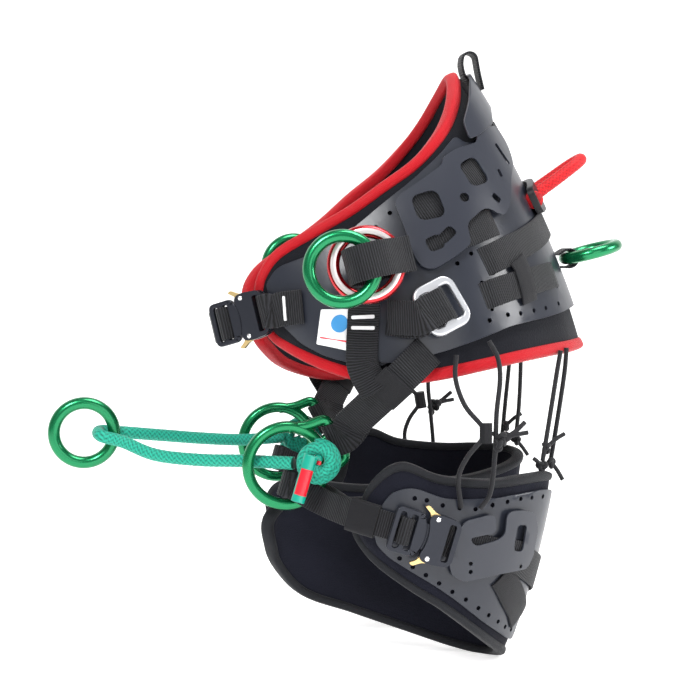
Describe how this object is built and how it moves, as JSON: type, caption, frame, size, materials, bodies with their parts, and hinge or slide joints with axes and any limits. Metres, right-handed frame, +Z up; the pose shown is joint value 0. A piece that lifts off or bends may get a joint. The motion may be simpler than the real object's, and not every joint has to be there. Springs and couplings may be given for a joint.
{
  "type": "tree climbing saddle",
  "caption": "Padded hip-belt work-positioning saddle with leg loops, side rings, rope bridge, elastic risers and quick-release buckles.",
  "frame": {"origin": "centre of the waist opening on the mid-plane, level with the side rings", "axes": "+X to the wearer's back, +Y to the wearer's right, +Z up"},
  "size_m": [0.5796, 0.3622, 0.5867],
  "materials": {
    "foam_mesh": "black spacer mesh over foam",
    "red_tape": "bright red woven binding tape",
    "plate": "satin grey flexible sheet",
    "webbing": "black ribbed webbing",
    "green_alloy": "gloss green anodised",
    "red_alloy": "gloss red anodised",
    "silver_alloy": "satin silver",
    "black_alloy": "satin black anodised",
    "brass": "satin brass",
    "green_rope": "green braided rope",
    "red_rope": "red braided cord",
    "elastic": "black elastic cord",
    "block": "black moulded block"
  },
  "bodies": {
    "belt": {"belt_pad": "foam_mesh", "belt_binding": "red_tape", "back_plate": "plate", "load_webbing_upper": "webbing", "load_webbing_middle": "webbing", "load_webbing_lower": "webbing", "tongue": "plate", "hang_loop": "webbing", "rear_anchor": "block", "rear_rope_loop": "red_rope", "rear_ring_webbing": "webbing", "waist_strap_left": "webbing", "waist_strap_right": "webbing", "waist_buckle_socket": "black_alloy", "front_plate_left": "plate", "gear_plate_left": "plate", "ring_webbing_left": "webbing", "riser_left": "webbing", "adjuster_strap_left": "webbing", "bungees_left": "elastic", "front_plate_right": "plate", "gear_plate_right": "plate", "ring_webbing_right": "webbing", "riser_right": "webbing", "adjuster_strap_right": "webbing", "bungees_right": "elastic"},
    "waist_tab": {"waist_buckle_tab": "black_alloy"},
    "waist_lever_upper": {"waist_lever_upper": "brass"},
    "waist_lever_lower": {"waist_lever_lower": "brass"},
    "rear_ring": {"rear_ring": "green_alloy"},
    "bridge": {"bridge_rope": "green_rope"},
    "front_ring": {"front_ring": "green_alloy"},
    "outer_ring_left": {"outer_ring_left": "green_alloy"},
    "inner_ring_left": {"inner_ring_left": "red_alloy"},
    "adjuster_left": {"adjuster_left": "silver_alloy"},
    "lower_ring_left": {"lower_ring_left": "green_alloy", "bridge_knot_left": "green_rope"},
    "leg_left": {"leg_pad_left": "foam_mesh", "leg_plate_left": "plate", "leg_webbing_left": "webbing", "leg_gear_plate_left": "plate", "leg_buckle_socket_left": "black_alloy", "leg_strap_left": "webbing"},
    "leg_tab_left": {"leg_buckle_tab_left": "black_alloy"},
    "leg_lever_upper_left": {"leg_lever_upper_left": "brass"},
    "leg_lever_lower_left": {"leg_lever_lower_left": "brass"},
    "outer_ring_right": {"outer_ring_right": "green_alloy"},
    "inner_ring_right": {"inner_ring_right": "red_alloy"},
    "adjuster_right": {"adjuster_right": "silver_alloy"},
    "lower_ring_right": {"lower_ring_right": "green_alloy", "bridge_knot_right": "green_rope"},
    "leg_right": {"leg_pad_right": "foam_mesh", "leg_plate_right": "plate", "leg_webbing_right": "webbing", "leg_gear_plate_right": "plate", "leg_buckle_socket_right": "black_alloy", "leg_strap_right": "webbing"},
    "leg_tab_right": {"leg_buckle_tab_right": "black_alloy"},
    "leg_lever_upper_right": {"leg_lever_upper_right": "brass"},
    "leg_lever_lower_right": {"leg_lever_lower_right": "brass"}
  },
  "joints": [
    {"name": "waist_tab_pull", "type": "slide", "parent": "belt", "child": "waist_tab", "axis": [-0.7712, 0.5784, -0.2661], "range_m": [0, 0.025], "deforming": ["waist_strap_right"]},
    {"name": "waist_lever_upper_press", "type": "hinge", "parent": "belt", "child": "waist_lever_upper", "pos_m": [-0.164, -0.06025, -0.04577], "axis": [-0.6, -0.8, 0], "range_deg": [0, 8], "stiffness_Nm_per_rad": 0.05},
    {"name": "waist_lever_lower_press", "type": "hinge", "parent": "belt", "child": "waist_lever_lower", "pos_m": [-0.15612, -0.06616, -0.08144], "axis": [0.6, 0.8, 0], "range_deg": [0, 8], "stiffness_Nm_per_rad": 0.05},
    {"name": "rear_ring_swing", "type": "hinge", "parent": "belt", "child": "rear_ring", "pos_m": [0.1735, 0, -0.0088], "axis": [0, 1, 0], "range_deg": [-30, 30]},
    {"name": "bridge_swing", "type": "hinge", "parent": "belt", "child": "bridge", "pos_m": [-0.113, 0, -0.199], "axis": [0, 1, 0], "range_deg": [-10, 25], "deforming": ["bridge_rope"]},
    {"name": "front_ring_swing", "type": "hinge", "parent": "bridge", "child": "front_ring", "pos_m": [-0.2966, 0, -0.179], "axis": [0, 1, 0], "range_deg": [-70, 70]},
    {"name": "outer_ring_swing_left", "type": "hinge", "parent": "belt", "child": "outer_ring_left", "pos_m": [-0.05624, -0.1639, -0.00969], "axis": [-0.2295, 0.1628, 0.9596], "range_deg": [0, 30]},
    {"name": "inner_ring_spin_left", "type": "hinge", "parent": "belt", "child": "inner_ring_left", "pos_m": [-0.06084, -0.14707, -0.01365], "axis": [-0.1899, -0.9745, 0.1199], "continuous": true},
    {"name": "adjuster_rock_left", "type": "hinge", "parent": "belt", "child": "adjuster_left", "pos_m": [0.00827, -0.14953, -0.05169], "axis": [-0.4577, 0.2365, 0.8571], "range_deg": [-4, 4]},
    {"name": "lower_ring_swing_left", "type": "hinge", "parent": "belt", "child": "lower_ring_left", "pos_m": [-0.0802, -0.095, -0.17712], "axis": [-0.4695, 0, 0.8829], "range_deg": [0, 12], "deforming": ["bridge_rope", "leg_strap_left"]},
    {"name": "leg_swing_left", "type": "hinge", "parent": "belt", "child": "leg_left", "pos_m": [-0.107, -0.095, -0.2325], "axis": [0, 1, 0], "range_deg": [-10, 10], "stiffness_Nm_per_rad": 10, "springref_deg": -3.44, "deforming": ["leg_strap_left", "bungees_left"]},
    {"name": "leg_tab_pull_left", "type": "slide", "parent": "leg_left", "child": "leg_tab_left", "axis": [-0.9549, 0.0632, 0.29], "range_m": [0, 0.025], "deforming": ["leg_strap_left"]},
    {"name": "leg_lever_upper_press_left", "type": "hinge", "parent": "leg_left", "child": "leg_lever_upper_left", "pos_m": [0.00097, -0.16954, -0.24391], "axis": [-0.06, -0.998, 0.02], "range_deg": [0, 8], "stiffness_Nm_per_rad": 0.05},
    {"name": "leg_lever_lower_press_left", "type": "hinge", "parent": "leg_left", "child": "leg_lever_lower_left", "pos_m": [-0.00978, -0.1696, -0.27931], "axis": [0.06, 0.998, -0.02], "range_deg": [0, 8], "stiffness_Nm_per_rad": 0.05},
    {"name": "outer_ring_swing_right", "type": "hinge", "parent": "belt", "child": "outer_ring_right", "pos_m": [-0.05624, 0.16789, -0.00969], "axis": [0.2295, 0.1628, -0.9596], "range_deg": [0, 30]},
    {"name": "inner_ring_spin_right", "type": "hinge", "parent": "belt", "child": "inner_ring_right", "pos_m": [-0.06084, 0.15107, -0.01365], "axis": [-0.1899, 0.9745, 0.1199], "continuous": true},
    {"name": "adjuster_rock_right", "type": "hinge", "parent": "belt", "child": "adjuster_right", "pos_m": [0.0076, 0.14958, -0.05819], "axis": [0.4576, 0.2374, -0.8569], "range_deg": [-4, 4]},
    {"name": "lower_ring_swing_right", "type": "hinge", "parent": "belt", "child": "lower_ring_right", "pos_m": [-0.0642, 0.095, -0.17712], "axis": [0.4695, 0, -0.8829], "range_deg": [0, 12], "deforming": ["bridge_rope", "leg_strap_right"]},
    {"name": "leg_swing_right", "type": "hinge", "parent": "belt", "child": "leg_right", "pos_m": [-0.091, 0.095, -0.2325], "axis": [0, 1, 0], "range_deg": [-10, 10], "stiffness_Nm_per_rad": 10, "springref_deg": -3.44, "deforming": ["leg_strap_right", "bungees_right"]},
    {"name": "leg_tab_pull_right", "type": "slide", "parent": "leg_right", "child": "leg_tab_right", "axis": [-0.9549, -0.0632, 0.29], "range_m": [0, 0.025], "deforming": ["leg_strap_right"]},
    {"name": "leg_lever_upper_press_right", "type": "hinge", "parent": "leg_right", "child": "leg_lever_upper_right", "pos_m": [0.02297, 0.16954, -0.24391], "axis": [0.06, -0.998, -0.02], "range_deg": [0, 8], "stiffness_Nm_per_rad": 0.05},
    {"name": "leg_lever_lower_press_right", "type": "hinge", "parent": "leg_right", "child": "leg_lever_lower_right", "pos_m": [0.01222, 0.1696, -0.27931], "axis": [-0.06, 0.998, 0.02], "range_deg": [0, 8], "stiffness_Nm_per_rad": 0.05}
  ]
}
